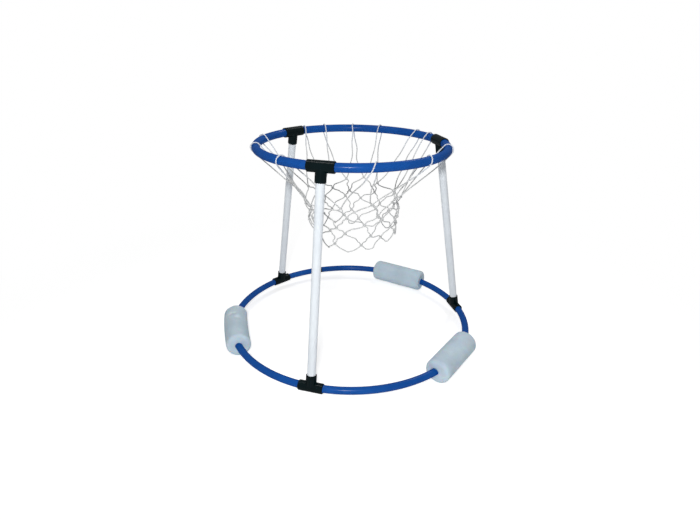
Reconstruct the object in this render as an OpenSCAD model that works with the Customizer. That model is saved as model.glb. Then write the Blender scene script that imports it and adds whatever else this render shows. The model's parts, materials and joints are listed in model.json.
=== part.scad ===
// Floating pool basketball goal: a hoop with a knotted net, held by three legs over a ring on foam floats.
// Millimetres, +Z up. The origin is the centre of the rings, on the surface that the floats rest on.

/* [Base ring] */
// Radius of the base ring's centreline
base_ring_r = 400; // [360:1:440]
// Outside diameter of the base tube
base_tube_od = 22; // [20:0.5:25]
// Wall of the base tube
base_tube_wall = 2; // [1.5:0.1:3]
// Angle of the middle of the joiner in the back of the base ring
joiner_angle = 126; // [110:0.5:128]
// Length of the joiner's collar that shows between the two tube ends
joiner_collar_len = 36; // [24:1:44]
// Length of each joiner spigot inside its tube
joiner_spigot_len = 28; // [15:1:32]
// Wall of the joiner's spigots
joiner_wall = 2; // [1.5:0.1:3]

/* [Hoop] */
// Radius of the hoop's centreline
hoop_ring_r = 287.5; // [260:0.5:310]
// Outside diameter of the hoop tube
hoop_tube_od = 25; // [22:0.5:28]
// Wall of the hoop tube
hoop_tube_wall = 2.2; // [1.5:0.1:3]
// Height of the hoop's centreline above the base ring's
hoop_height = 605; // [540:1:660]

/* [Legs] */
// Outside diameter of the legs
leg_od = 25; // [22:0.5:28]
// Wall of the legs
leg_wall = 2.2; // [1.5:0.1:3]

/* [Tees] */
// Length of a hoop tee's run, from mouth to mouth
hoop_tee_run = 76; // [66:1:86]
// Reach of a hoop tee's branch from the middle of its run
hoop_tee_reach = 42; // [36:0.5:50]
// Wall round a hoop tee's run sockets
hoop_tee_wall = 3.4; // [2.8:0.1:4.5]
// Length of a base tee's run, from mouth to mouth
base_tee_run = 73; // [63:1:83]
// Reach of a base tee's branch from the middle of its run
base_tee_reach = 38; // [34:0.5:46]
// Wall round a base tee's run sockets
base_tee_wall = 3.8; // [2.8:0.1:4.5]
// Wall round the leg sockets
branch_wall = 2.8; // [2:0.1:3.5]
// Length of the stop between a tee's two ring sockets
tee_stop_len = 24; // [16:1:30]
// Depth of the leg sockets
leg_socket_len = 22; // [15:0.5:23]
// Diameter of the hole between a tee's run and its leg socket
branch_passage_d = 14; // [8:0.5:16]
// Bevel round the mouths of the tees
mouth_bevel = 1.4; // [0.5:0.1:1.8]
// Gap all round a pipe in its socket
socket_gap = 0.15; // [0.1:0.05:0.3]
// Gap between a pipe's end and the stop in its socket
end_gap = 0.3; // [0.2:0.1:1]

/* [Floats] */
// Diameter of the floats
float_d = 80; // [72:1:90]
// Length of the floats
float_len = 206; // [176:1:226]
// Radius of the floats' rounded edges
float_edge_r = 9; // [4:0.5:14]
// Depth of the flat that each float rests on
float_flat = 0.5; // [0.3:0.1:1.5]
// Gap all round the base tube in a float's bore
float_gap = 0.4; // [0.3:0.1:1]
// Place of the left float's middle on the base ring
float_left_angle = 209; // [200:1:220]
// Place of the right float's middle on the base ring
float_right_angle = 340; // [320:1:345]
// Place of the back float's middle on the base ring
float_back_angle = 75; // [70:1:100]

/* [Net] */
// Diameter of the net's cord
cord_d = 3.5; // [2.5:0.1:4.5]
// Gap between the cord and the hoop tube that it hangs on
loop_gap = 0.3; // [0.2:0.1:0.8]
// Sideways step of a slanted loop on its way over the hoop tube
loop_slant = 16; // [6:1:24]
// How far the slack cords under the hoop wave sideways
cord_wave = 4; // [0:0.5:6]
// How far the slack cords between knots bow sideways
strand_bow = 6; // [0:0.5:8]
// Depth of the first row of knots below the hoop
first_row_depth = 150; // [135:1:165]
// Drop from one row of knots to the next
row_drop = 31; // [26:0.5:36]
// Rows of knots
knot_rows = 5; // [4:1:7]
// Depth where the funnel ends and the net hangs down
waist_depth = 156; // [140:1:170]
// Radius of the net where its funnel ends
waist_r = 151; // [135:1:165]
// Radius of the net at its last row of knots
hem_r = 123; // [110:1:140]
// Pull of the open loops along the bottom edge
hem_droop = 42; // [25:1:55]
// How far a knot strays in or out
knot_stray = 7; // [0:0.5:9]
// How far a knot strays up or down
knot_sag = 8; // [0:0.5:9]
// How far a knot strays round the net, in degrees
knot_swing = 5; // [0:0.5:6]
// How far the net's bottom is pushed out on its right side
side_push = 20; // [0:1:24]
// How far the net's bottom is lifted on its right side
side_lift = 12; // [0:1:20]

/* [Hidden] */
$fn = 96;

blue = [0.13, 0.34, 0.61];
black = [0.06, 0.11, 0.12];
white = [0.92, 0.94, 0.97];
foam = [0.70, 0.76, 0.80];
cord_white = [0.86, 0.87, 0.87];

// Places round the rings
front_angle = 270;
right_angle = 30;
left_angle = 150;

// Heights of the two ring planes, with the floats' flats at zero
base_z = float_d / 2 - float_flat;
hoop_z = base_z + hoop_height;

// Rise of an arc of a ring over half a chord
function arc_rise(ring_r, half) = ring_r - sqrt(ring_r * ring_r - half * half);
// Angle of a length measured along a ring
function arc_angle(ring_r, len) = len / ring_r * 180 / PI;

// A tee is straight on a curved tube, so its run lies halfway between the arc's middle and its ends
base_tee_r = base_ring_r - arc_rise(base_ring_r, base_tee_run / 2) / 2;
hoop_tee_r = hoop_ring_r - arc_rise(hoop_ring_r, hoop_tee_run / 2) / 2;

// The legs lean inwards from the base tees to the hoop tees
leg_lean = atan2(base_tee_r - hoop_tee_r, hoop_height);
leg_span = norm([base_tee_r - hoop_tee_r, hoop_height]);

// The floats are straight on a curved tube too
float_r = base_ring_r - arc_rise(base_ring_r, float_len / 2) / 2;

// Steps of the rounded edges
edge_steps = 6;
// Length that a cutting shape runs past what it cuts
past = 2;

// Pipes

module ring_pipe(ring_r, from, to, od, bore) {
    rotate([0, 0, from])
        rotate_extrude(angle = to - from)
            translate([ring_r, 0])
                difference() {
                    circle(d = od);
                    circle(d = bore);
                }
}

module ring_rod(ring_r, from, to, d) {
    rotate([0, 0, from])
        rotate_extrude(angle = to - from)
            translate([ring_r, 0])
                circle(d = d);
}

module base_pipe(from, to) {
    color(blue)
        translate([0, 0, base_z])
            ring_pipe(base_ring_r, from, to, base_tube_od, base_tube_od - 2 * base_tube_wall);
}

module hoop_pipe(from, to) {
    color(blue)
        translate([0, 0, hoop_z])
            ring_pipe(hoop_ring_r, from, to, hoop_tube_od, hoop_tube_od - 2 * hoop_tube_wall);
}

// Angle from a tee's middle to the end of the pipe in its socket
base_inset = arc_angle(base_ring_r, tee_stop_len / 2 + end_gap);
hoop_inset = arc_angle(hoop_ring_r, tee_stop_len / 2 + end_gap);
// Half angles of the joiner's collar, of the pipe ends beside it and of the whole joiner
collar_half = arc_angle(base_ring_r, joiner_collar_len / 2);
joiner_seat = arc_angle(base_ring_r, joiner_collar_len / 2 + end_gap);
joiner_half = arc_angle(base_ring_r, joiner_collar_len / 2 + joiner_spigot_len);

module base_arc_left() { base_pipe(left_angle + base_inset, front_angle - base_inset); }
module base_arc_right() { base_pipe(front_angle + base_inset, right_angle + 360 - base_inset); }
module base_arc_back() { base_pipe(right_angle + base_inset, joiner_angle - joiner_seat); }
module base_arc_back_short() { base_pipe(joiner_angle + joiner_seat, left_angle - base_inset); }

module base_joiner() {
    spigot_od = base_tube_od - 2 * base_tube_wall - 2 * socket_gap;
    color(black)
        translate([0, 0, base_z])
            difference() {
                union() {
                    ring_rod(base_ring_r, joiner_angle - collar_half, joiner_angle + collar_half, base_tube_od);
                    ring_rod(base_ring_r, joiner_angle - joiner_half, joiner_angle + joiner_half, spigot_od);
                }
                ring_rod(base_ring_r, joiner_angle - joiner_half - past, joiner_angle + joiner_half + past,
                         spigot_od - 2 * joiner_wall);
            }
}

module hoop_arc_left() { hoop_pipe(left_angle + hoop_inset, front_angle - hoop_inset); }
module hoop_arc_right() { hoop_pipe(front_angle + hoop_inset, right_angle + 360 - hoop_inset); }
module hoop_arc_back() { hoop_pipe(right_angle + hoop_inset, left_angle - hoop_inset); }

// Tees

// Round bar along Z from zero, with a bevel at both ends
module bevelled_bar(r, len) {
    rotate_extrude()
        polygon([[0, 0], [r - mouth_bevel, 0], [r, mouth_bevel],
                 [r, len - mouth_bevel], [r - mouth_bevel, len], [0, len]]);
}

// One tee at an angle on a ring: straight run, leg branch, curved ring sockets and a straight leg socket
module tee(angle, ring_r, tee_r, z, tube_od, tube_wall, run, run_wall, reach, tilt) {
    run_r = tube_od / 2 + socket_gap + run_wall;
    branch_r = leg_od / 2 + socket_gap + branch_wall;
    stop_half = arc_angle(ring_r, tee_stop_len / 2);
    mouth_half = arc_angle(ring_r, run / 2) + past;
    color(black)
        translate([0, 0, z])
            rotate([0, 0, angle])
                difference() {
                    translate([tee_r, 0, 0]) {
                        translate([0, run / 2, 0])
                            rotate([90, 0, 0])
                                bevelled_bar(run_r, run);
                        rotate([0, tilt, 0])
                            bevelled_bar(branch_r, reach);
                    }
                    ring_rod(ring_r, stop_half, mouth_half, tube_od + 2 * socket_gap);
                    ring_rod(ring_r, -mouth_half, -stop_half, tube_od + 2 * socket_gap);
                    ring_rod(ring_r, -mouth_half, mouth_half, tube_od - 2 * tube_wall);
                    translate([tee_r, 0, 0])
                        rotate([0, tilt, 0]) {
                            translate([0, 0, reach - leg_socket_len])
                                cylinder(d = leg_od + 2 * socket_gap, h = leg_socket_len + past);
                            cylinder(d = branch_passage_d, h = reach);
                        }
                }
}

module base_tee(angle) {
    tee(angle, base_ring_r, base_tee_r, base_z, base_tube_od, base_tube_wall,
        base_tee_run, base_tee_wall, base_tee_reach, -leg_lean);
}

module hoop_tee(angle) {
    tee(angle, hoop_ring_r, hoop_tee_r, hoop_z, hoop_tube_od, hoop_tube_wall,
        hoop_tee_run, hoop_tee_wall, hoop_tee_reach, 180 - leg_lean);
}

module base_tee_front() { base_tee(front_angle); }
module base_tee_right() { base_tee(right_angle); }
module base_tee_left() { base_tee(left_angle); }
module hoop_tee_front() { hoop_tee(front_angle); }
module hoop_tee_right() { hoop_tee(right_angle); }
module hoop_tee_left() { hoop_tee(left_angle); }

// Legs

module leg(angle) {
    foot = base_tee_reach - leg_socket_len + end_gap;
    head = leg_span - (hoop_tee_reach - leg_socket_len + end_gap);
    color(white)
        translate([0, 0, base_z])
            rotate([0, 0, angle])
                translate([base_tee_r, 0, 0])
                    rotate([0, -leg_lean, 0])
                        translate([0, 0, foot])
                            difference() {
                                cylinder(d = leg_od, h = head - foot);
                                translate([0, 0, -past])
                                    cylinder(d = leg_od - 2 * leg_wall, h = head - foot + 2 * past);
                            }
}

module leg_front() { leg(front_angle); }
module leg_right() { leg(right_angle); }
module leg_left() { leg(left_angle); }

// Floats

// Straight foam roll with rounded edges, threaded on the curved tube and flat where it rests
module foam_float(angle) {
    r = float_d / 2;
    e = float_edge_r;
    half_bore = arc_angle(base_ring_r, float_len / 2) + past;
    color(foam)
        rotate([0, 0, angle])
            difference() {
                translate([float_r, float_len / 2, base_z])
                    rotate([90, 0, 0])
                        rotate_extrude()
                            polygon(concat(
                                [[0, 0]],
                                [for (i = [0:edge_steps])
                                    let (a = 90 * i / edge_steps) [r - e + e * sin(a), e - e * cos(a)]],
                                [for (i = [0:edge_steps])
                                    let (a = 90 * i / edge_steps) [r - e + e * cos(a), float_len - e + e * sin(a)]],
                                [[0, float_len]]));
                translate([0, 0, base_z])
                    ring_rod(base_ring_r, -half_bore, half_bore, base_tube_od + 2 * float_gap);
                translate([float_r - float_d, -float_len, -float_d])
                    cube([2 * float_d, 2 * float_len, float_d]);
            }
}

module float_left() { foam_float(float_left_angle); }
module float_right() { foam_float(float_right_angle); }
module float_back() { foam_float(float_back_angle); }

// Net: one cord mesh whose strands meet in knots, hung on the hoop by loops over its tube

cord_r = cord_d / 2;
strand_sides = 6;
// Shares of the free tube between two tees where the loops hang
back_loops = [0.04, 0.16, 0.455, 0.65, 0.855, 1];
left_loops = [0.22, 0.475, 0.85];
right_loops = [0.17, 0.51, 0.845];
// Share of the slant that each loop has
loop_leans = concat([0.1, 0.3, 0.4, 0.3, -0.1, 0.6], [0.8, 0.8, 0.4], [1.2, 1.1, 0.8]);
// Angle kept free beside a tee
tee_clear = asin(hoop_tee_run / 2 / hoop_tee_r) + arc_angle(hoop_ring_r, loop_slant / 2 + cord_d);
tee_spacing = left_angle - right_angle;
function loop_angle(tee_angle, share) = tee_angle + tee_clear + share * (tee_spacing - 2 * tee_clear);
loop_angles = concat(
    [for (s = back_loops) loop_angle(right_angle, s)],
    [for (s = left_loops) loop_angle(left_angle, s)],
    [for (s = right_loops) loop_angle(front_angle, s)]);
columns = len(loop_angles);
// Angle of the first column where the net hangs evenly
even_start = 13;
// Share of the way to even spacing at the first row, and its growth in each row below
first_even = 0.5;
even_growth = 0.35;

// Steps of half a turn over the tube, and the radius of a cord that clears the tube between the steps
wrap_steps = 6;
wrap_r = (hoop_tube_od / 2 + loop_gap) / cos(90 / wrap_steps) + cord_r;
funnel_slope = atan((hoop_ring_r - waist_r) / waist_depth);

// A knot's strands leave at these angles to the net's fall, this far from its middle
upper_spread = 32;
lower_spread = 48;
knot_reach = 1.35 * cord_d;
knot_bulge = 0.95 * cord_d;
// Share of a strand's length that its ends keep their direction
strand_stiffness = 0.3;
strand_steps = 3;
lead_steps = 4;
hem_steps = 5;

function out_dir(a) = [cos(a), sin(a), 0];
function side_dir(a) = [-sin(a), cos(a), 0];
function unit(v) = v / norm(v);
function square_to(v, t) = unit(v - (v * t) * t);
function wrapped(j) = (j % columns + columns) % columns;
// Even but irregular values between -1 and 1
function stray(j, k, seed) = sin(97 * wrapped(j) + 151 * k + seed);

function column_angle(j, even) =
    (1 - even) * (loop_angles[wrapped(j)] + 360 * floor(j / columns))
    + even * (even_start + 360 / columns * j);
function evenness(k) = min(1, first_even + even_growth * k);
function knot_angle(j, k) =
    let (e = evenness(k))
    (k % 2 == 0 ? (column_angle(j, e) + column_angle(j + 1, e)) / 2 : column_angle(j, e))
    + knot_swing * stray(j, k, 0);
// Share of the push and lift on the right side that reaches a knot
side_angle = 10;
function side_share(j, k) =
    let (c = max(0, cos(knot_angle(j, k) - side_angle)))
    c * c * c * k / (knot_rows - 1);
function knot_depth(j, k) =
    first_row_depth + row_drop * k + knot_sag * stray(j, k, 70) - side_lift * side_share(j, k);
hem_depth = first_row_depth + row_drop * (knot_rows - 1);
hem_slope = atan((waist_r - hem_r) / (hem_depth - waist_depth));
function net_radius(depth) =
    depth < waist_depth
        ? hoop_ring_r - depth * tan(funnel_slope)
        : waist_r - (depth - waist_depth) * tan(hem_slope);
// The net bends from the funnel's slope to the lower slope within one row
function net_slope(depth) =
    let (bend = max(0, min(1, 0.5 + (depth - waist_depth) / row_drop)))
    funnel_slope + bend * (hem_slope - funnel_slope);
function knot_at(j, k) =
    let (d = knot_depth(j, k),
         r = net_radius(d) + knot_stray * stray(j, k, 145) + side_push * side_share(j, k))
    r * out_dir(knot_angle(j, k)) + [0, 0, hoop_z - d];

// Directions at a knot: up along the net, and square out of it
function net_up(j, k) =
    let (s = net_slope(knot_depth(j, k)))
    sin(s) * out_dir(knot_angle(j, k)) + [0, 0, cos(s)];
function net_out(j, k) =
    let (s = net_slope(knot_depth(j, k)))
    cos(s) * out_dir(knot_angle(j, k)) - [0, 0, sin(s)];
// Ports of a knot, anticlockwise from outside: upper right, upper left, lower left, lower right
UR = 0;
UL = 1;
LL = 2;
LR = 3;
function port_dir(j, k, port) =
    let (up = net_up(j, k), side = side_dir(knot_angle(j, k)))
    port == UR ? cos(upper_spread) * up + sin(upper_spread) * side
    : port == UL ? cos(upper_spread) * up - sin(upper_spread) * side
    : port == LL ? -cos(lower_spread) * up - sin(lower_spread) * side
    : -cos(lower_spread) * up + sin(lower_spread) * side;
function port_at(j, k, port) = knot_at(j, k) + knot_reach * port_dir(j, k, port);

// One ring of points round a cord, counted from the outward direction
function cord_ring(centre, along, out) =
    let (side = cross(along, out), step = 360 / strand_sides)
    [for (i = [0:strand_sides - 1]) centre + cord_r * (cos(step * i) * out + sin(step * i) * side)];

// A smooth curve from a point and direction to another point and its own outward direction
function curve_point(a, da, b, db, t) =
    let (u = 1 - t)
    u * u * u * a + 3 * u * u * t * (a + da) + 3 * u * t * t * (b + db) + t * t * t * b;
function curve_along(a, da, b, db, t) =
    let (u = 1 - t)
    unit(u * u * da + 2 * u * t * (b + db - a - da) - t * t * db);
function polar(p) = atan2(p[1], p[0]);

// Rings between the two ends of a strand that lies in the net, bowed sideways
function strand_rings(a, da, b, db, steps, bow) = [
    for (i = [1:steps - 1])
        let (t = i / steps, p = curve_point(a, da, b, db, t), along = curve_along(a, da, b, db, t),
             swell = sin(180 * t))
        each cord_ring(p + bow * swell * swell * side_dir(polar(p)), along, square_to(out_dir(polar(p)), along))];
// Rings of a strand that runs to or from the hoop, with a slack wave in it
function lead_rings(a, da, b, db, wave) = [
    for (i = [1:lead_steps - 1])
        let (t = i / lead_steps, p = curve_point(a, da, b, db, t), along = curve_along(a, da, b, db, t),
             side = side_dir(polar(p)))
        each cord_ring(p + wave * sin(360 * t) * side, along, unit(cross(side, along)))];

// Neighbour of a knot in the row below
function below(j, k, port) =
    let (right = port == LR ? 1 : 0)
    k % 2 == 0 ? j + right : j - 1 + right;
function met_port(port) = port == LL ? UR : UL;

function mesh_rings(j, k, port) =
    let (n = below(j, k, port), met = met_port(port),
         a = port_at(j, k, port), b = port_at(n, k + 1, met), pull = strand_stiffness * norm(b - a))
    strand_rings(a, pull * port_dir(j, k, port), b, pull * port_dir(n, k + 1, met), strand_steps,
                 strand_bow * ((port == LR ? 0.4 : -0.4) + 0.6 * stray(j, k, 80 * port)));

// Place and direction of the cord on its half turn over the hoop tube
function wrap_angle(j, s) =
    loop_angles[j] + arc_angle(hoop_ring_r, loop_leans[j] * loop_slant / 2) * (1 - 2 * s);
function wrap_point(j, s) =
    let (turn = funnel_slope + 180 * s)
    (hoop_ring_r - wrap_r * cos(turn)) * out_dir(wrap_angle(j, s)) + [0, 0, hoop_z + wrap_r * sin(turn)];
function wrap_along(j, s) =
    let (turn = funnel_slope + 180 * s)
    sin(turn) * out_dir(wrap_angle(j, s)) + [0, 0, cos(turn)];

// Rings of one loop: up from the knot after it, over the tube and down to the knot before it
function loop_rings(j) =
    let (a = port_at(j, 0, UL), b = wrap_point(j, 0), up_pull = strand_stiffness * norm(b - a),
         c = wrap_point(j, 1), d = port_at(j - 1, 0, UR), down_pull = strand_stiffness * norm(d - c))
    concat(
        lead_rings(a, up_pull * port_dir(j, 0, UL), b, -up_pull * wrap_along(j, 0), cord_wave * stray(j, 0, 200)),
        [for (i = [0:wrap_steps])
            let (s = i / wrap_steps, along = wrap_along(j, s))
            each cord_ring(wrap_point(j, s), along, unit(cross(side_dir(wrap_angle(j, s)), along)))],
        lead_rings(c, down_pull * wrap_along(j, 1), d, down_pull * port_dir(j - 1, 0, UR),
                   cord_wave * stray(j, 0, 290)));

// Rings of one open loop along the bottom edge
last_row = knot_rows - 1;
function hem_rings(j) =
    strand_rings(port_at(j, last_row, LR), hem_droop * port_dir(j, last_row, LR),
                 port_at(j + 1, last_row, LL), hem_droop * port_dir(j + 1, last_row, LL), hem_steps, 0);

// Points, in blocks: knots, mesh strands, loops over the tube, bottom loops
knot_points = 4 * strand_sides + 2;
front_point = 4 * strand_sides;
back_point = front_point + 1;
mesh_points = strand_sides * (strand_steps - 1);
loop_ring_count = 2 * (lead_steps - 1) + wrap_steps + 1;
loop_points = strand_sides * loop_ring_count;
hem_points = strand_sides * (hem_steps - 1);
mesh_start = knot_points * columns * knot_rows;
loop_start = mesh_start + mesh_points * 2 * columns * last_row;
hem_start = loop_start + loop_points * columns;

net_points = concat(
    [for (k = [0:last_row], j = [0:columns - 1]) each concat(
        [for (port = [UR:LR]) each cord_ring(port_at(j, k, port), port_dir(j, k, port), net_out(j, k))],
        [knot_at(j, k) + knot_bulge * net_out(j, k), knot_at(j, k) - knot_bulge * net_out(j, k)])],
    [for (k = [0:last_row - 1], j = [0:columns - 1], port = [LL:LR]) each mesh_rings(j, k, port)],
    [for (j = [0:columns - 1]) each loop_rings(j)],
    [for (j = [0:columns - 1]) each hem_rings(j)]);

// Point numbers
function knot_start(j, k) = knot_points * (columns * k + wrapped(j));
function port_ring(j, k, port) = [for (i = [0:strand_sides - 1]) knot_start(j, k) + strand_sides * port + i];
// A port ring as a strand that arrives there counts it, and as one that arrives from over the tube does
function met_ring(j, k, port) =
    let (r = port_ring(j, k, port)) [for (i = [0:strand_sides - 1]) r[(strand_sides - i) % strand_sides]];
function dropped_ring(j, k, port) =
    let (r = port_ring(j, k, port))
    [for (i = [0:strand_sides - 1]) r[(strand_sides + strand_sides / 2 - i) % strand_sides]];
function inner_rings(start, count) =
    [for (n = [0:1:count - 1]) [for (i = [0:strand_sides - 1]) start + strand_sides * n + i]];

// Triangles between each ring of a strand and the next
function tube_faces(rings) = [
    for (n = [0:len(rings) - 2], i = [0:strand_sides - 1])
        let (a = rings[n], b = rings[n + 1], m = (i + 1) % strand_sides)
        each [[a[i], b[i], b[m]], [a[i], b[m], a[m]]]];

// Triangles of one knot: its front, its back and the four valleys between its ports
function knot_faces(j, k) =
    let (start = knot_start(j, k),
         front = [for (p = [0:3]) each [for (i = [1, 0, 5]) start + strand_sides * p + i]],
         back = [for (p = [0:3]) each [for (i = [2, 3, 4]) start + strand_sides * p + i]],
         turns = len(front))
    concat(
        [for (i = [0:turns - 1]) [start + front_point, front[(i + 1) % turns], front[i]]],
        [for (i = [0:turns - 1]) [start + back_point, back[i], back[(i + 1) % turns]]],
        [for (p = [0:3])
            let (a = start + strand_sides * p, b = start + strand_sides * ((p + 1) % 4))
            each [[a + 5, b + 1, b + 2], [a + 5, b + 2, a + 4]]]);

function mesh_ring_start(j, k, port) = mesh_start + mesh_points * (2 * (columns * k + j) + port - LL);
net_faces = concat(
    [for (k = [0:last_row], j = [0:columns - 1]) each knot_faces(j, k)],
    [for (k = [0:last_row - 1], j = [0:columns - 1], port = [LL:LR])
        each tube_faces(concat(
            [port_ring(j, k, port)],
            inner_rings(mesh_ring_start(j, k, port), strand_steps - 1),
            [met_ring(below(j, k, port), k + 1, met_port(port))]))],
    [for (j = [0:columns - 1])
        each tube_faces(concat(
            [port_ring(j, 0, UL)],
            inner_rings(loop_start + loop_points * j, loop_ring_count),
            [dropped_ring(j - 1, 0, UR)]))],
    [for (j = [0:columns - 1])
        each tube_faces(concat(
            [port_ring(j, last_row, LR)],
            inner_rings(hem_start + hem_points * j, hem_steps - 1),
            [met_ring(j + 1, last_row, LL)]))]);

module net() {
    color(cord_white)
        polyhedron(points = net_points, faces = net_faces, convexity = 10);
}

base_arc_left();
base_arc_right();
base_arc_back();
base_arc_back_short();
base_joiner();
base_tee_front();
base_tee_right();
base_tee_left();
float_left();
float_right();
float_back();
leg_front();
leg_right();
leg_left();
hoop_tee_front();
hoop_tee_right();
hoop_tee_left();
hoop_arc_left();
hoop_arc_right();
hoop_arc_back();
net();
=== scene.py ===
"""Looks of a floating pool basketball goal: materials, net, foam floats, floor, light and camera."""

import json
import math

import bpy
from mathutils import Matrix, Vector, noise


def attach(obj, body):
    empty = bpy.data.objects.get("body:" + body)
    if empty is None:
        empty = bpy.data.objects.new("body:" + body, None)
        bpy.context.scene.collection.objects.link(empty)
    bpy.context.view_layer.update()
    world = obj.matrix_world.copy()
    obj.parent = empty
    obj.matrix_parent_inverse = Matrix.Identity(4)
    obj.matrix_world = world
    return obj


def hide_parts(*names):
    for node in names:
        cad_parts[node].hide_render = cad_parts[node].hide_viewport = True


MM = 0.001
UP = Vector((0, 0, 1))

# Sizes that the net and the foam share with the solids, in millimetres and degrees

BASE_RING_R = 400.0
BASE_TUBE_OD = 22.0
HOOP_RING_R = 287.5
HOOP_TUBE_OD = 25.0
HOOP_HEIGHT = 605.0
HOOP_TEE_RUN = 76.0

# Places of the tees round the rings
FRONT_ANGLE = 270.0
RIGHT_ANGLE = 30.0
LEFT_ANGLE = 150.0
TEE_STEP = LEFT_ANGLE - RIGHT_ANGLE

FLOAT_D = 80.0
FLOAT_LEN = 206.0
FLOAT_FLAT = 0.5
FLOAT_GAP = 0.4
FLOAT_ANGLES = {"left": 209.0, "right": 340.0, "back": 75.0}

BASE_Z = FLOAT_D / 2 - FLOAT_FLAT
HOOP_Z = BASE_Z + HOOP_HEIGHT

CORD_D = 3.5
CORD_R = CORD_D / 2
LOOP_GAP = 0.3
LOOP_SLANT = 16.0
CORD_WAVE = 4.0
STRAND_BOW = 6.0
BOW_APART = 0.4
BOW_STRAY = 0.6
STRAND_STIFFNESS = 0.3
FIRST_ROW_DEPTH = 150.0
ROW_DROP = 31.0
KNOT_ROWS = 5
LAST_ROW = KNOT_ROWS - 1
WAIST_DEPTH = 156.0
WAIST_R = 151.0
HEM_R = 123.0
HEM_DROOP = 42.0
KNOT_STRAY = 7.0
KNOT_SAG = 8.0
KNOT_SWING = 5.0
KNOT_REACH = 1.35 * CORD_D
UPPER_SPREAD = 32.0
LOWER_SPREAD = 48.0

# The side of the net that is pushed out and lifted
SIDE_PUSH = 20.0
SIDE_LIFT = 12.0
SIDE_ANGLE = 10.0
SIDE_SHARPNESS = 3

# Places of the loops between two tees, as shares of the way, and how far each loop leans
BACK_LOOPS = (0.04, 0.16, 0.455, 0.65, 0.855, 1.0)
LEFT_LOOPS = (0.22, 0.475, 0.85)
RIGHT_LOOPS = (0.17, 0.51, 0.845)
LOOP_LEANS = (0.1, 0.3, 0.4, 0.3, -0.1, 0.6) + (0.8, 0.8, 0.4) + (1.2, 1.1, 0.8)

# How soon the columns of knots, uneven as the loops are, become evenly spaced
EVEN_START = 13.0
FIRST_EVEN = 0.5
EVEN_GROWTH = 0.35

# Steps and starts of the waves that make the net uneven
STRAY_PER_COLUMN = 97
STRAY_PER_ROW = 151
SWING_SEED = 0
SAG_SEED = 70
RADIUS_SEED = 145
RISE_SEED = 200
FALL_SEED = 290
BOW_SEED = 80

# What only the soft cord has: the bends and the turn in a knot, and slack kinks between the knots,
# with how far they swing aside and how many lie in one side of a loop, a strand or a hem loop
UPPER_HOOK = 3.1 * CORD_D
LOWER_HOOK = 3.5 * CORD_D
BIGHT_LIFT = 0.52 * CORD_D
TURN_R = 0.95 * CORD_D
TURN_TILT = 0.35 * CORD_D
TURN_CORD_R = 0.92 * CORD_R
TURN_SEED = 30
LOOP_KINK = 3.0
LOOP_KINKS = 2.0
STRAND_KINK = 3.5
STRAND_KINKS = 1.3
HEM_KINK = 6.0
HEM_KINKS = 1.4
RISE_KINK_SEED = 186
RISE_PHASE_SEED = 261
FALL_KINK_SEED = 2
FALL_PHASE_SEED = 172
STRAND_PHASE_SEED = 150
HEM_PHASE_SEED = 40

# Fineness of the cords
CORD_SIDES = 10
LOOP_STEPS = 30
OVER_STEPS = 24
STRAND_STEPS = 12
HEM_STEPS = 16
BIGHT_STEPS = 12
TURN_STEPS = 16

# What only the soft foam has: rounder edges than the solid, the share of the tube's bend that a roll follows,
# how far one end has slipped inwards, and pressed spots
FOAM_EDGE_R = 12.0
FOAM_BENDS = {"left": 0.25, "right": 0.0, "back": 0.0}
FOAM_SLIPS = {"left": 5.0, "right": 0.0, "back": 0.0}

# Pressed spots: place along the roll, place round it, depth, width, and how pale the spot is painted, partly
# as a scuff and partly as a painted highlight
FOAM_DENTS = {
    "left": [
        (-49.0, 66.0, 3.2, 10.0, 0.8),
        (-48.0, 88.0, 2.4, 8.0, 0.7),
        (-19.0, 101.0, 3.2, 10.0, 0.9),
    ],
    "right": [(48.0, 118.0, 1.6, 12.0, 0.0)],
    "back": [(-30.0, 150.0, 1.8, 11.0, 0.0)],
}

# Unevenness of the foam: how close together and how deep it is, and where in the noise a roll lies
LUMP_SCALE = 0.016
LUMP_DEPTH = 0.9
DIMPLE_SCALE = 0.055
DIMPLE_DEPTH = 0.3
PIT_SCALE = 0.03
PIT_LEVEL = 0.28
PIT_DEPTH = 3.0
PIT_SEED = 3
FOAM_SEED_Y = 0.37
FOAM_SEED_Z = 0.11

# Fineness of the foam
FACE_STEPS = 9
EDGE_STEPS = 10
SIDE_STEPS = 72
BORE_STEPS = 24
FOAM_TURNS = 96


# Small geometry helpers

def arc_rise(ring_r, half):
    return ring_r - math.sqrt(ring_r * ring_r - half * half)


def arc_angle(ring_r, length):
    return math.degrees(length / ring_r)


def cos_d(a):
    return math.cos(math.radians(a))


def sin_d(a):
    return math.sin(math.radians(a))


def out_dir(a):
    return Vector((cos_d(a), sin_d(a), 0))


def side_dir(a):
    return Vector((-sin_d(a), cos_d(a), 0))


def polar(p):
    return math.degrees(math.atan2(p.y, p.x))


def add_object(name, data):
    obj = bpy.data.objects.new(name, data)
    bpy.context.collection.objects.link(obj)
    return obj


# Net: the same cord mesh as the solid, with round slack cords and tied knots

HOOP_TEE_R = HOOP_RING_R - arc_rise(HOOP_RING_R, HOOP_TEE_RUN / 2) / 2
TEE_HALF_ANGLE = math.degrees(math.asin(HOOP_TEE_RUN / 2 / HOOP_TEE_R))
TEE_CLEAR = TEE_HALF_ANGLE + arc_angle(HOOP_RING_R, LOOP_SLANT / 2 + CORD_D)


def loop_angle(tee_angle, share):
    return tee_angle + TEE_CLEAR + share * (TEE_STEP - 2 * TEE_CLEAR)


LOOP_ANGLES = (
    [loop_angle(RIGHT_ANGLE, s) for s in BACK_LOOPS]
    + [loop_angle(LEFT_ANGLE, s) for s in LEFT_LOOPS]
    + [loop_angle(FRONT_ANGLE, s) for s in RIGHT_LOOPS]
)
COLUMNS = len(LOOP_ANGLES)

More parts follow.
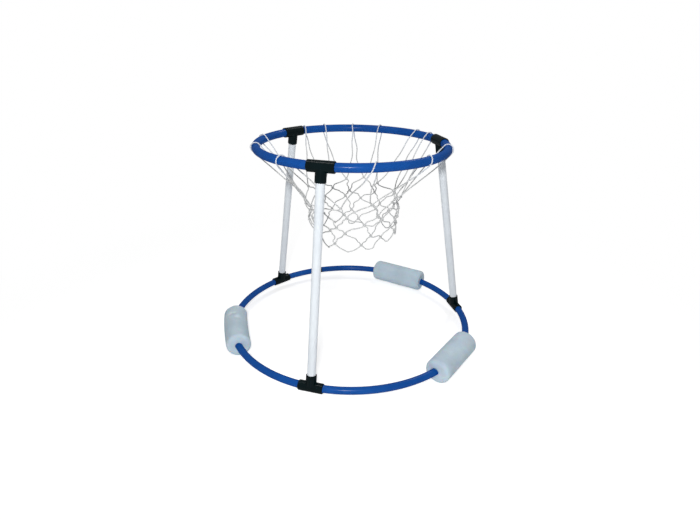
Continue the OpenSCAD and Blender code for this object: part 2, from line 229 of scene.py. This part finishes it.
# The solid's loops go over the tube in straight steps, so the cord lies a little further out
WRAP_STEPS = 6
WRAP_R = (HOOP_TUBE_OD / 2 + LOOP_GAP) / cos_d(90 / WRAP_STEPS) + CORD_R

FUNNEL_SLOPE = math.degrees(math.atan((HOOP_RING_R - WAIST_R) / WAIST_DEPTH))
HEM_DEPTH = FIRST_ROW_DEPTH + ROW_DROP * LAST_ROW
HEM_SLOPE = math.degrees(math.atan((WAIST_R - HEM_R) / (HEM_DEPTH - WAIST_DEPTH)))

# Where cords leave a knot: upper right, upper left, lower left and lower right
UR, UL, LL, LR = range(4)


def stray(j, k, seed):
    return sin_d(STRAY_PER_COLUMN * (j % COLUMNS) + STRAY_PER_ROW * k + seed)


def column_angle(j, even):
    turn = math.floor(j / COLUMNS)
    loop = LOOP_ANGLES[j % COLUMNS] + 360 * turn
    return (1 - even) * loop + even * (EVEN_START + 360 / COLUMNS * j)


def knot_angle(j, k):
    even = min(1.0, FIRST_EVEN + EVEN_GROWTH * k)
    if k % 2 == 0:
        middle = (column_angle(j, even) + column_angle(j + 1, even)) / 2
    else:
        middle = column_angle(j, even)
    return middle + KNOT_SWING * stray(j, k, SWING_SEED)


def side_share(j, k):
    return max(0.0, cos_d(knot_angle(j, k) - SIDE_ANGLE)) ** SIDE_SHARPNESS * k / LAST_ROW


def knot_depth(j, k):
    return FIRST_ROW_DEPTH + ROW_DROP * k + KNOT_SAG * stray(j, k, SAG_SEED) - SIDE_LIFT * side_share(j, k)


def net_radius(depth):
    if depth < WAIST_DEPTH:
        return HOOP_RING_R - depth * math.tan(math.radians(FUNNEL_SLOPE))
    return WAIST_R - (depth - WAIST_DEPTH) * math.tan(math.radians(HEM_SLOPE))


def net_slope(depth):
    """Slope of the net, which changes over one row, half of it above the waist."""
    bend = max(0.0, min(1.0, 0.5 + (depth - WAIST_DEPTH) / ROW_DROP))
    return FUNNEL_SLOPE + bend * (HEM_SLOPE - FUNNEL_SLOPE)


def knot_at(j, k):
    depth = knot_depth(j, k)
    r = net_radius(depth) + KNOT_STRAY * stray(j, k, RADIUS_SEED) + SIDE_PUSH * side_share(j, k)
    return r * out_dir(knot_angle(j, k)) + Vector((0, 0, HOOP_Z - depth))


def net_up(j, k):
    s = net_slope(knot_depth(j, k))
    return sin_d(s) * out_dir(knot_angle(j, k)) + cos_d(s) * UP


def net_out(j, k):
    s = net_slope(knot_depth(j, k))
    return cos_d(s) * out_dir(knot_angle(j, k)) - sin_d(s) * UP


def port_dir(j, k, port):
    up = net_up(j, k)
    side = side_dir(knot_angle(j, k))
    if port in (UR, UL):
        sign = 1 if port == UR else -1
        return cos_d(UPPER_SPREAD) * up + sign * sin_d(UPPER_SPREAD) * side
    sign = 1 if port == LR else -1
    return -cos_d(LOWER_SPREAD) * up + sign * sin_d(LOWER_SPREAD) * side


def port_at(j, k, port):
    return knot_at(j, k) + KNOT_REACH * port_dir(j, k, port)


def curve(a, da, b, db, steps):
    """Points of a smooth curve from a, heading along da, to b, which it reaches against db."""
    points = []
    for i in range(steps + 1):
        t = i / steps
        u = 1 - t
        points.append(u ** 3 * a + 3 * u * u * t * (a + da) + 3 * u * t * t * (b + db) + t ** 3 * b)
    return points


class Cords:
    """Closed round cords gathered into one mesh, with the place round each cord and along it as its UV."""

    def __init__(self, sides):
        self.sides = sides
        self.points = []
        self.faces = []
        self.uvs = []

    def add(self, path, radius, out):
        """One closed cord along path. out is the side on which its first row of faces starts."""
        start = len(self.points)
        count = len(path)
        lengths = [0.0]
        sides = []
        for i, p in enumerate(path):
            after = path[(i + 1) % count]
            along = (after - path[i - 1]).normalized()
            out = (out - out.dot(along) * along).normalized()
            sides.append((out, along.cross(out)))
            lengths.append(lengths[i] + (after - p).length)

        # What the sides have turned by when they come round to the start is undone bit by bit
        first_along = (path[1] - path[-1]).normalized()
        out = (out - out.dot(first_along) * first_along).normalized()
        first_out, first_side = sides[0]
        turned = math.atan2(out.dot(first_side), out.dot(first_out))
        for i, p in enumerate(path):
            out, side = sides[i]
            for n in range(self.sides):
                a = 2 * math.pi * n / self.sides - turned * i / count
                self.points.append((p + radius * (math.cos(a) * out + math.sin(a) * side)) * MM)

        for i in range(count):
            here = start + self.sides * i
            there = start + self.sides * ((i + 1) % count)
            near = lengths[i] * MM
            far = lengths[i + 1] * MM
            for n in range(self.sides):
                m = (n + 1) % self.sides
                self.faces.append((here + n, here + m, there + m, there + n))
                u0 = n / self.sides
                u1 = (n + 1) / self.sides
                self.uvs.extend(((u0, near), (u1, near), (u1, far), (u0, far)))

    def make(self, name):
        mesh = bpy.data.meshes.new(name)
        mesh.from_pydata(self.points, [], self.faces)
        layer = mesh.uv_layers.new(name="cord")
        for loop, uv in zip(layer.data, self.uvs):
            loop.uv = uv
        mesh.polygons.foreach_set("use_smooth", [True] * len(mesh.polygons))
        return add_object(name, mesh)


def wrap_angle(j, s):
    return LOOP_ANGLES[j] + arc_angle(HOOP_RING_R, LOOP_LEANS[j] * LOOP_SLANT / 2) * (1 - 2 * s)


def wrap_point(j, s):
    turn = FUNNEL_SLOPE + 180 * s
    across = HOOP_RING_R - WRAP_R * cos_d(turn)
    return across * out_dir(wrap_angle(j, s)) + Vector((0, 0, HOOP_Z + WRAP_R * sin_d(turn)))


def wrap_along(j, s):
    turn = FUNNEL_SLOPE + 180 * s
    around = sin_d(turn) * out_dir(wrap_angle(j, s)) + cos_d(turn) * UP
    lean = LOOP_LEANS[j] * LOOP_SLANT / (math.pi * WRAP_R)
    return (around - lean * side_dir(wrap_angle(j, s))).normalized()


def slack(path, wave):
    """The same path with a slack wave in it, sideways."""
    last = len(path) - 1
    return [p + wave * math.sin(2 * math.pi * i / last) * side_dir(polar(p)) for i, p in enumerate(path)]


def kinked(path, kink, kinks, phase):
    """The same path with kinks in it, sideways, that die away at its ends."""
    last = len(path) - 1
    moved = []
    for i, p in enumerate(path):
        swing = sin_d(180 * i / last) * sin_d(360 * kinks * i / last + phase)
        moved.append(p + kink * swing * side_dir(polar(p)))
    return moved


def loop_path(j):
    """One loop: up from the knot after it, over the hoop tube and down to the knot before it."""
    a = port_at(j, 0, UL)
    b = wrap_point(j, 0)
    c = wrap_point(j, 1)
    d = port_at(j - 1, 0, UR)
    up_pull = STRAND_STIFFNESS * (b - a).length
    down_pull = STRAND_STIFFNESS * (d - c).length
    rise = curve(a, up_pull * port_dir(j, 0, UL), b, -up_pull * wrap_along(j, 0), LOOP_STEPS)
    over = [wrap_point(j, i / OVER_STEPS) for i in range(1, OVER_STEPS)]
    fall = curve(c, down_pull * wrap_along(j, 1), d, down_pull * port_dir(j - 1, 0, UR), LOOP_STEPS)
    rise = slack(rise, CORD_WAVE * stray(j, 0, RISE_SEED))
    fall = slack(fall, CORD_WAVE * stray(j, 0, FALL_SEED))
    rise_kink = LOOP_KINK * stray(j, 0, RISE_KINK_SEED)
    fall_kink = LOOP_KINK * stray(j, 0, FALL_KINK_SEED)
    rise = kinked(rise, rise_kink, LOOP_KINKS, 180 * stray(j, 0, RISE_PHASE_SEED))
    fall = kinked(fall, fall_kink, LOOP_KINKS, 180 * stray(j, 0, FALL_PHASE_SEED))
    return rise + over + fall


def below(j, k, port):
    """Column of the knot that the cord from a lower port of a knot goes down to."""
    right = 1 if port == LR else 0
    return j + right if k % 2 == 0 else j - 1 + right


def strand_path(j, k, port):
    """Cord from a lower port of a knot to the knot below it, bowed away from the strand beside it."""
    n = below(j, k, port)
    met = UR if port == LL else UL
    a = port_at(j, k, port)
    b = port_at(n, k + 1, met)
    pull = STRAND_STIFFNESS * (b - a).length
    path = curve(a, pull * port_dir(j, k, port), b, pull * port_dir(n, k + 1, met), STRAND_STEPS)
    apart = BOW_APART if port == LR else -BOW_APART
    bow = STRAND_BOW * (apart + BOW_STRAY * stray(j, k, BOW_SEED * port))
    bowed = []
    for i, p in enumerate(path):
        bowed.append(p + bow * math.sin(math.pi * i / STRAND_STEPS) ** 2 * side_dir(polar(p)))
    return kinked(bowed, STRAND_KINK, STRAND_KINKS, 180 * stray(j, k, STRAND_PHASE_SEED * port))


def hem_path(j):
    """Open loop of the hem, from a knot of the last row to the next."""
    a = port_at(j, LAST_ROW, LR)
    b = port_at(j + 1, LAST_ROW, LL)
    leave = HEM_DROOP * port_dir(j, LAST_ROW, LR)
    meet = HEM_DROOP * port_dir(j + 1, LAST_ROW, LL)
    path = curve(a, leave, b, meet, HEM_STEPS)
    return kinked(path, HEM_KINK, HEM_KINKS, 180 * stray(j, LAST_ROW, HEM_PHASE_SEED))


def bight(j, k, start, end):
    """Bend of cord inside a knot, from one port to the port beside it, hooked through the other bend."""
    hook, sign = (UPPER_HOOK, 1) if start in (UR, UL) else (LOWER_HOOK, -1)
    a = port_at(j, k, start)
    b = port_at(j, k, end)
    path = curve(a, -hook * port_dir(j, k, start), b, -hook * port_dir(j, k, end), BIGHT_STEPS)
    lift = sign * BIGHT_LIFT * net_out(j, k)
    return [p + math.sin(math.pi * i / BIGHT_STEPS) * lift for i, p in enumerate(path)]


def knot_turn(j, k):
    """The turn of cord round a knot."""
    middle = knot_at(j, k)
    points = []
    for i in range(TURN_STEPS):
        a = 2 * math.pi * i / TURN_STEPS
        tilt = TURN_TILT * math.cos(a + stray(j, k, TURN_SEED))
        across = math.cos(a) * side_dir(knot_angle(j, k)) + math.sin(a) * net_out(j, k)
        points.append(middle + TURN_R * across + tilt * net_up(j, k))
    return points


def make_net():
    """Closed cords: one for the loops, one for each row of meshes, one for the hem and one round each knot."""
    cords = Cords(CORD_SIDES)
    loops = []
    for j in reversed(range(COLUMNS)):
        loops += loop_path(j)[:-1] + bight(j - 1, 0, UR, UL)[:-1]
    cords.add(loops, CORD_R, net_out(0, 0))
    for k in range(LAST_ROW):
        row = []
        for j in range(COLUMNS):
            row += strand_path(j, k, LR)[:-1] + bight(below(j, k, LR), k + 1, UL, UR)[:-1]
            row += strand_path(j + 1, k, LL)[:0:-1] + bight(j + 1, k, LL, LR)[:-1]
        cords.add(row, CORD_R, net_out(0, k))
    hem = []
    for j in range(COLUMNS):
        hem += hem_path(j)[:-1] + bight(j + 1, LAST_ROW, LL, LR)[:-1]
    cords.add(hem, CORD_R, net_out(0, LAST_ROW))
    for j in range(COLUMNS):
        for k in range(KNOT_ROWS):
            cords.add(knot_turn(j, k), TURN_CORD_R, net_up(j, k))
    return cords.make("net_cords")


# Foam floats

FLOAT_R = FLOAT_D / 2
FLOAT_HALF = FLOAT_LEN / 2
FLOAT_RING_R = BASE_RING_R - arc_rise(BASE_RING_R, FLOAT_HALF) / 2
BORE_R = BASE_TUBE_OD / 2 + FLOAT_GAP


def foam_rows():
    """Rows of a roll's skin, round from one end's bore to the other's and back through the bore.

    Each has how far along the roll it is, how far from the bore (0) to the outside (1), and which way
    the skin faces there, from along the roll (0) to straight out (90).
    """
    e = FOAM_EDGE_R
    skin = FLOAT_R - BORE_R
    rows = []
    for i in range(FACE_STEPS + 1):
        rows.append((-FLOAT_HALF, (FLOAT_R - e - BORE_R) / skin * i / FACE_STEPS, 0.0))
    for i in range(1, EDGE_STEPS + 1):
        a = 90 * i / EDGE_STEPS
        rows.append((-FLOAT_HALF + e - e * cos_d(a), (FLOAT_R - e + e * sin_d(a) - BORE_R) / skin, a))
    end = list(rows)
    for i in range(1, SIDE_STEPS):
        rows.append((-FLOAT_HALF + e + (FLOAT_LEN - 2 * e) * i / SIDE_STEPS, 1.0, 90.0))
    for y, share, facing in reversed(end):
        rows.append((-y, share, facing))
    for i in range(1, BORE_STEPS):
        rows.append((FLOAT_HALF - FLOAT_LEN * i / BORE_STEPS, 0.0, 0.0))
    return rows


def foam_dent(p, seed):
    """Depth of the foam's own unevenness at p."""
    lump = noise.noise(p * LUMP_SCALE + seed)
    dimple = noise.noise(p * DIMPLE_SCALE + seed)
    pit = max(0.0, noise.noise(p * PIT_SCALE + PIT_SEED * seed) - PIT_LEVEL)
    return LUMP_DEPTH * (0.5 + 0.5 * lump) + DIMPLE_DEPTH * (0.5 + 0.5 * dimple) + PIT_DEPTH * pit


def make_float(name, angle, bend, slip, dents):
    """Soft-edged foam roll round the curved tube, with shallow dents, flat where it rests."""
    seed = Vector((angle, FOAM_SEED_Y * angle, FOAM_SEED_Z * angle))
    rows = foam_rows()
    points = []
    scuffs_and_glints = []
    for y, share, facing in rows:
        bent = bend * (math.sqrt(BASE_RING_R ** 2 - y * y) - FLOAT_RING_R)
        sway = bent - slip * (FLOAT_HALF + y) / FLOAT_LEN
        for n in range(FOAM_TURNS):
            a = 2 * math.pi * n / FOAM_TURNS
            ray = Vector((math.cos(a), 0, math.sin(a)))
            from_ring_centre = BASE_RING_R + BORE_R * ray.x
            bore = Vector((math.sqrt(from_ring_centre ** 2 - y * y) - FLOAT_RING_R, y, BORE_R * ray.z))
            p = bore.lerp(FLOAT_R * ray + Vector((sway, y, 0)), share)
            scuff_and_glint = 0.0
            if share > 0:
                dent = share * foam_dent(p, seed)
                # The pale mark on a pressed spot is partly a scuff and partly a painted highlight
                for along, turn, deep, width, rub in dents:
                    spot = Vector((FLOAT_R * cos_d(turn), along, FLOAT_R * sin_d(turn)))
                    press = math.exp(-((p - spot).length / width) ** 2)
                    dent += deep * press
                    scuff_and_glint = max(scuff_and_glint, rub * press)
                outward = sin_d(facing) * ray + cos_d(facing) * Vector((0, math.copysign(1, y), 0))
                p = p - dent * outward
            p.z = max(p.z, -BASE_Z)
            points.append(p)
            scuffs_and_glints.append(scuff_and_glint)

    faces = []
    count = len(rows)
    for i in range(count):
        here = i * FOAM_TURNS
        there = (i + 1) % count * FOAM_TURNS
        for n in range(FOAM_TURNS):
            m = (n + 1) % FOAM_TURNS
            faces.append((here + n, there + n, there + m, here + m))

    place = Matrix.Rotation(math.radians(angle), 4, "Z") @ Matrix.Translation((FLOAT_RING_R, 0, BASE_Z))
    mesh = bpy.data.meshes.new(name)
    mesh.from_pydata([(place @ p) * MM for p in points], [], faces)
    mesh.attributes.new("scuff_and_glint", "FLOAT", "POINT").data.foreach_set("value", scuffs_and_glints)
    mesh.polygons.foreach_set("use_smooth", [True] * len(mesh.polygons))
    mesh.update()
    return add_object(name, mesh)


# Materials

class Look:
    """A principled material with short calls for its nodes."""

    def __init__(self, name):
        self.material = bpy.data.materials.new(name)
        self.material.use_nodes = True
        self.tree = self.material.node_tree
        self.shader = self.tree.nodes["Principled BSDF"]
        self.place = self.tree.nodes.new("ShaderNodeTexCoord")

    def link(self, a, b):
        self.tree.links.new(a, b)

    def set(self, **values):
        for key, value in values.items():
            self.shader.inputs[key.replace("_", " ")].default_value = value

    def noise(self, scale, detail=3.0, roughness=0.55):
        node = self.tree.nodes.new("ShaderNodeTexNoise")
        node.inputs["Scale"].default_value = scale
        node.inputs["Detail"].default_value = detail
        node.inputs["Roughness"].default_value = roughness
        self.link(self.place.outputs["Object"], node.inputs["Vector"])
        return node.outputs["Fac"]

    def cells(self, scale):
        node = self.tree.nodes.new("ShaderNodeTexVoronoi")
        node.inputs["Scale"].default_value = scale
        self.link(self.place.outputs["Object"], node.inputs["Vector"])
        return node.outputs["Distance"]

    def ramp(self, value, stops):
        node = self.tree.nodes.new("ShaderNodeValToRGB")
        elements = node.color_ramp.elements
        while len(elements) < len(stops):
            elements.new(0.5)
        for element, (at, colour) in zip(elements, stops):
            element.position = at
            element.color = (*colour, 1)
        self.link(value, node.inputs["Fac"])
        return node.outputs["Color"]

    def levels(self, value, low, high, to_low, to_high):
        node = self.tree.nodes.new("ShaderNodeMapRange")
        for key, number in (("From Min", low), ("From Max", high), ("To Min", to_low), ("To Max", to_high)):
            node.inputs[key].default_value = number
        self.link(value, node.inputs["Value"])
        return node.outputs["Result"]

    def mix(self, factor, a, b):
        node = self.tree.nodes.new("ShaderNodeMix")
        node.data_type = "RGBA"
        self.link(factor, node.inputs["Factor"])
        for socket, value in ((node.inputs["A"], a), (node.inputs["B"], b)):
            if isinstance(value, tuple):
                socket.default_value = (*value, 1)
            else:
                self.link(value, socket)
        return node.outputs["Result"]

    def math(self, kind, a, b):
        node = self.tree.nodes.new("ShaderNodeMath")
        node.operation = kind
        for socket, value in zip(node.inputs, (a, b)):
            if isinstance(value, (int, float)):
                socket.default_value = value
            else:
                self.link(value, socket)
        return node.outputs["Value"]

    def bump(self, height, strength, distance, below=None):
        node = self.tree.nodes.new("ShaderNodeBump")
        node.inputs["Strength"].default_value = strength
        node.inputs["Distance"].default_value = distance
        self.link(height, node.inputs["Height"])
        if below:
            self.link(below, node.inputs["Normal"])
        return node.outputs["Normal"]

    def finish(self, colour, roughness, normal):
        self.link(colour, self.shader.inputs["Base Color"])
        self.link(roughness, self.shader.inputs["Roughness"])
        self.link(normal, self.shader.inputs["Normal"])
        return self.material


def pipe_look(name, dark, mid, worn, rough, gloss, coat):
    """Extruded pipe: cloudy colour, faint rub marks, a slightly wavy skin and a thin clear gloss."""
    look = Look(name)
    cloud = look.noise(14, detail=4)
    rub = look.noise(160, detail=6, roughness=0.7)
    colour = look.ramp(cloud, [(0.3, dark), (0.7, mid)])
    marks = look.levels(rub, 0.64, 0.82, 0, 0.22)
    colour = look.mix(marks, colour, worn)
    roughness = look.levels(look.noise(45, detail=5), 0.3, 0.7, rough - 0.05, rough + 0.08)
    waves = look.bump(look.noise(60, detail=2), strength=0.035, distance=0.004)
    normal = look.bump(look.noise(900), strength=0.05, distance=0.0006, below=waves)
    look.set(IOR=1.5, Specular_IOR_Level=gloss, Coat_Weight=coat, Coat_Roughness=0.23, Coat_IOR=2.2)
    return look.finish(colour, roughness, normal)


def fitting_look():
    """Moulded black fitting: near black with a green cast, faint rub marks and a satin gloss."""
    look = Look("fitting_black")
    dark = (0.0007, 0.0048, 0.0060)
    light = (0.0016, 0.0080, 0.0096)
    cloud = look.noise(30, detail=4)
    rub = look.noise(240, detail=6, roughness=0.72)
    colour = look.ramp(cloud, [(0.3, dark), (0.7, light)])
    marks = look.levels(rub, 0.62, 0.84, 0, 0.3)
    colour = look.mix(marks, colour, (0.018, 0.028, 0.030))
    roughness = look.levels(look.noise(70, detail=5), 0.3, 0.7, 0.09, 0.19)
    grain = look.bump(look.noise(1400, detail=2), strength=0.03, distance=0.0005)
    normal = look.bump(look.noise(80, detail=2), strength=0.02, distance=0.003, below=grain)
    look.set(IOR=1.5, Specular_IOR_Level=0.0, Coat_Weight=0.13, Coat_Roughness=0.19)
    return look.finish(colour, roughness, normal)


def foam_look():
    """Closed-cell foam: a matt skin with cut cells, soft mottling, painted shade in the pits of the cells, and
    pale pressed spots that are partly scuffs and partly a painted highlight.
    """
    look = Look("float_foam")
    dark = (0.53, 0.65, 0.74)
    mid = (0.61, 0.735, 0.83)
    light = (0.68, 0.795, 0.89)
    cloud = look.noise(16, detail=5)
    cells = look.cells(520)
    fine = look.noise(700)
    colour = look.ramp(cloud, [(0.25, dark), (0.55, mid), (0.8, light)])
    # Painted shade: the pits of the cut cells are painted darker
    pit_shade = look.levels(cells, 0.0, 0.4, 0.4, 0)
    colour = look.mix(pit_shade, colour, (0.36, 0.45, 0.52))
    # Pressed spots are painted paler: partly scuffs, partly a painted highlight where the dents catch the
    # light
    scuff_and_glint = look.tree.nodes.new("ShaderNodeAttribute")
    scuff_and_glint.attribute_name = "scuff_and_glint"
    scuff_and_glint_share = look.levels(scuff_and_glint.outputs["Fac"], 0.15, 0.8, 0, 0.6)
    colour = look.mix(scuff_and_glint_share, colour, (0.88, 0.94, 0.97))
    roughness = look.levels(fine, 0.2, 0.8, 0.5, 0.72)
    skin = look.bump(cells, strength=0.45, distance=0.0012)
    lumps = look.bump(look.noise(90), strength=0.16, distance=0.004, below=skin)
    normal = look.bump(fine, strength=0.1, distance=0.0005, below=lumps)
    look.set(IOR=1.4, Specular_IOR_Level=0.0, Subsurface_Weight=0.3, Subsurface_Scale=0.004)
    return look.finish(colour, roughness, normal)


def cord_look():
    """Twisted cord: three strands that turn round each other, with a fibrous skin, painted lighter and bluer
    at the hoop, painted darker further down, and painted shade in the grooves between the strands.
    """
    turns_per_metre = 250.0
    strand_count = 3.0
    # Heights between which the painted light at the hoop gives way to painted shade lower down the net
    shaded_below = (HOOP_Z - 60) * MM
    lit_above = (HOOP_Z - 20) * MM
    look = Look("net_cord")
    uv = look.tree.nodes.new("ShaderNodeUVMap")
    uv.uv_map = "cord"
    split = look.tree.nodes.new("ShaderNodeSeparateXYZ")
    look.link(uv.outputs["UV"], split.inputs["Vector"])
    turns = look.math("MULTIPLY", split.outputs["Y"], turns_per_metre)
    strands = look.math("MULTIPLY", split.outputs["X"], strand_count)
    phase = look.math("FRACT", look.math("ADD", turns, strands), 0.0)
    strand = look.math("PINGPONG", phase, 0.5)
    fibres = look.noise(2200, detail=4)
    groove = look.levels(strand, 0.0, 0.32, 1, 0)
    # Painted light and shade: the cord is painted lighter and bluer at the hoop and greyer further down the
    # net
    painted_lit_cord = look.ramp(look.noise(35), [(0.3, (0.76, 0.81, 0.88)), (0.7, (0.85, 0.90, 0.97))])
    painted_shaded_cord = look.ramp(look.noise(60, detail=4), [(0.3, (0.64, 0.65, 0.65)), (0.7, (0.80, 0.81, 0.81))])
    height = look.tree.nodes.new("ShaderNodeSeparateXYZ")
    look.link(look.place.outputs["Object"], height.inputs["Vector"])
    lit_to_shaded = look.levels(height.outputs["Z"], shaded_below, lit_above, 1, 0)
    colour = look.mix(lit_to_shaded, painted_lit_cord, painted_shaded_cord)
    # Painted shade in the grooves between the strands
    shade = look.math("MULTIPLY", groove, 0.45)
    colour = look.mix(shade, colour, (0.22, 0.23, 0.225))
    roughness = look.levels(fibres, 0.2, 0.8, 0.6, 0.9)
    lay = look.bump(strand, strength=0.7, distance=0.0012)
    normal = look.bump(fibres, strength=0.2, distance=0.0003, below=lay)
    look.set(Sheen_Weight=0.1, Sheen_Roughness=0.5)
    return look.finish(colour, roughness, normal)


# Light, floor and camera, in metres

FLOOR_HALF = 14.0
FLOOR_GREY = 0.86
FLOOR_GLOW = 0.54

# How far from the middle the floor starts to go white and is plain white, and how white it is before that
WHITE_FROM = 0.45
WHITE_AT = 1.5
WHITE_START = 0.1

WORLD_LIGHT = 0.23

CAMERA_AT = (0.408, -1.4584, 0.9522)
CAMERA_TURN = 15.69
CAMERA_DIP = 24.57
CAMERA_ROLL = 0.70
CAMERA_SENSOR = 36
CAMERA_LENS = 25.55


def area_light(name, at, target, size, power):
    data = bpy.data.lights.new(name, "AREA")
    data.shape = "RECTANGLE"
    data.size, data.size_y = size
    data.energy = power
    obj = add_object(name, data)
    obj.location = at
    obj.rotation_mode = "QUATERNION"
    obj.rotation_quaternion = (Vector(target) - Vector(at)).to_track_quat("-Z", "Y")


def seen_rays(nodes, links):
    """1 for rays that show the background itself: from the camera, off gloss and through glass."""
    path = nodes.new("ShaderNodeLightPath")
    total = path.outputs["Is Camera Ray"]
    for name in ("Is Glossy Ray", "Is Transmission Ray"):
        either = nodes.new("ShaderNodeMath")
        either.operation = "MAXIMUM"
        links.new(total, either.inputs[0])
        links.new(path.outputs[name], either.inputs[1])
        total = either.outputs["Value"]
    return total


def floor_look():
    """Pale grey that keeps the shadow near the object and goes to plain white further out."""
    material = bpy.data.materials.new("floor_pale")
    material.use_nodes = True
    nodes = material.node_tree.nodes
    links = material.node_tree.links
    nodes.clear()
    seen = seen_rays(nodes, links)

    lit = nodes.new("ShaderNodeBsdfDiffuse")
    lit.inputs["Color"].default_value = (FLOOR_GREY, FLOOR_GREY, FLOOR_GREY, 1)
    glow = nodes.new("ShaderNodeMath")
    glow.operation = "MULTIPLY"
    glow.inputs[1].default_value = FLOOR_GLOW
    links.new(seen, glow.inputs[0])
    lift = nodes.new("ShaderNodeEmission")
    links.new(glow.outputs["Value"], lift.inputs["Strength"])
    near = nodes.new("ShaderNodeAddShader")
    links.new(lit.outputs["BSDF"], near.inputs[0])
    links.new(lift.outputs["Emission"], near.inputs[1])

    place = nodes.new("ShaderNodeTexCoord")
    reach = nodes.new("ShaderNodeVectorMath")
    reach.operation = "LENGTH"
    links.new(place.outputs["Object"], reach.inputs[0])
    fade = nodes.new("ShaderNodeMapRange")
    fade.interpolation_type = "SMOOTHSTEP"
    fade.inputs["From Min"].default_value = WHITE_FROM
    fade.inputs["From Max"].default_value = WHITE_AT
    fade.inputs["To Min"].default_value = WHITE_START
    links.new(reach.outputs["Value"], fade.inputs["Value"])
    share = nodes.new("ShaderNodeMath")
    share.operation = "MULTIPLY"
    links.new(seen, share.inputs[0])
    links.new(fade.outputs["Result"], share.inputs[1])

    white = nodes.new("ShaderNodeEmission")
    blend = nodes.new("ShaderNodeMixShader")
    links.new(share.outputs["Value"], blend.inputs["Fac"])
    links.new(near.outputs["Shader"], blend.inputs[1])
    links.new(white.outputs["Emission"], blend.inputs[2])
    out = nodes.new("ShaderNodeOutputMaterial")
    links.new(blend.outputs["Shader"], out.inputs["Surface"])
    return material


def make_floor():
    half = FLOOR_HALF
    corners = [(-half, -half, 0), (half, -half, 0), (half, half, 0), (-half, half, 0)]
    mesh = bpy.data.meshes.new("floor")
    mesh.from_pydata(corners, [], [(0, 1, 2, 3)])
    mesh.materials.append(floor_look())
    floor = add_object("floor", mesh)


def make_world():
    """White where it is seen, and dimmer as a light."""
    world = bpy.data.worlds.new("studio")
    bpy.context.scene.world = world
    world.use_nodes = True
    nodes = world.node_tree.nodes
    links = world.node_tree.links
    background = nodes["Background"]
    background.inputs["Color"].default_value = (1, 1, 1, 1)
    level = nodes.new("ShaderNodeMapRange")
    level.inputs["To Min"].default_value = WORLD_LIGHT
    level.inputs["To Max"].default_value = 1.0
    links.new(seen_rays(nodes, links), level.inputs["Value"])
    links.new(level.outputs["Result"], background.inputs["Strength"])


def make_camera():
    data = bpy.data.cameras.new("camera")
    data.sensor_width = CAMERA_SENSOR
    data.lens = CAMERA_LENS
    camera = add_object("camera", data)
    turn = Matrix.Rotation(math.radians(CAMERA_TURN), 4, "Z")
    tilt = Matrix.Rotation(math.radians(90 - CAMERA_DIP), 4, "X")
    roll = Matrix.Rotation(math.radians(CAMERA_ROLL), 4, "Z")
    camera.matrix_world = Matrix.Translation(CAMERA_AT) @ turn @ tilt @ roll
    bpy.context.scene.camera = camera


# The scene

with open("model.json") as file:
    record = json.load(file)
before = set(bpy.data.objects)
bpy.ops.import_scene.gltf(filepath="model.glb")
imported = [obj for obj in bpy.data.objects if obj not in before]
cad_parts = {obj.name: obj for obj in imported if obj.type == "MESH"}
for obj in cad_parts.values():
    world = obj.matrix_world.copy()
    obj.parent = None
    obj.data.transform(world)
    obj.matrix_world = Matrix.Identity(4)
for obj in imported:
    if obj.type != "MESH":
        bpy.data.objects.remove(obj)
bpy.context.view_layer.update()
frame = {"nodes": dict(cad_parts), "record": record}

make_camera()
make_world()
make_floor()
area_light("key", at=(0.40, -1.80, 1.30), target=(0, 0, 0.42), size=(0.22, 0.07), power=23.3)
area_light("top", at=(-0.62, -0.30, 2.6), target=(0, 0, 0.3), size=(0.3, 0.3), power=6.5)
area_light("back", at=(0.45, 1.50, 2.2), target=(0, 0, 0.3), size=(0.5, 0.5), power=12)

blue = pipe_look(
    "tube_blue",
    dark=(0.003, 0.063, 0.300),
    mid=(0.006, 0.085, 0.365),
    worn=(0.04, 0.15, 0.42),
    rough=0.20,
    gloss=0.0,
    coat=0.06,
)
white = pipe_look(
    "leg_white",
    dark=(0.77, 0.82, 0.87),
    mid=(0.83, 0.88, 0.925),
    worn=(0.55, 0.57, 0.60),
    rough=0.32,
    gloss=0.35,
    coat=0.0,
)
black = fitting_look()
foam = foam_look()
cord = cord_look()

looks = {"tube_blue": blue, "fitting_black": black, "leg_white": white, "float_foam": foam, "net_cord": cord}
for part in frame["record"]["subparts"]:
    node = frame["nodes"][part["node"]]
    for holder in node.material_slots:
        holder.material = looks[part["material_slot"]]

net = make_net()
net.data.materials.append(cord)
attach(net, "frame")
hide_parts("net")

for side, angle in FLOAT_ANGLES.items():
    roll = make_float("foam_" + side, angle, FOAM_BENDS[side], FOAM_SLIPS[side], FOAM_DENTS[side])
    roll.data.materials.append(foam)
    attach(roll, side + "_float")
    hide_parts("float_" + side)

bpy.context.scene.view_settings.view_transform = "Standard"
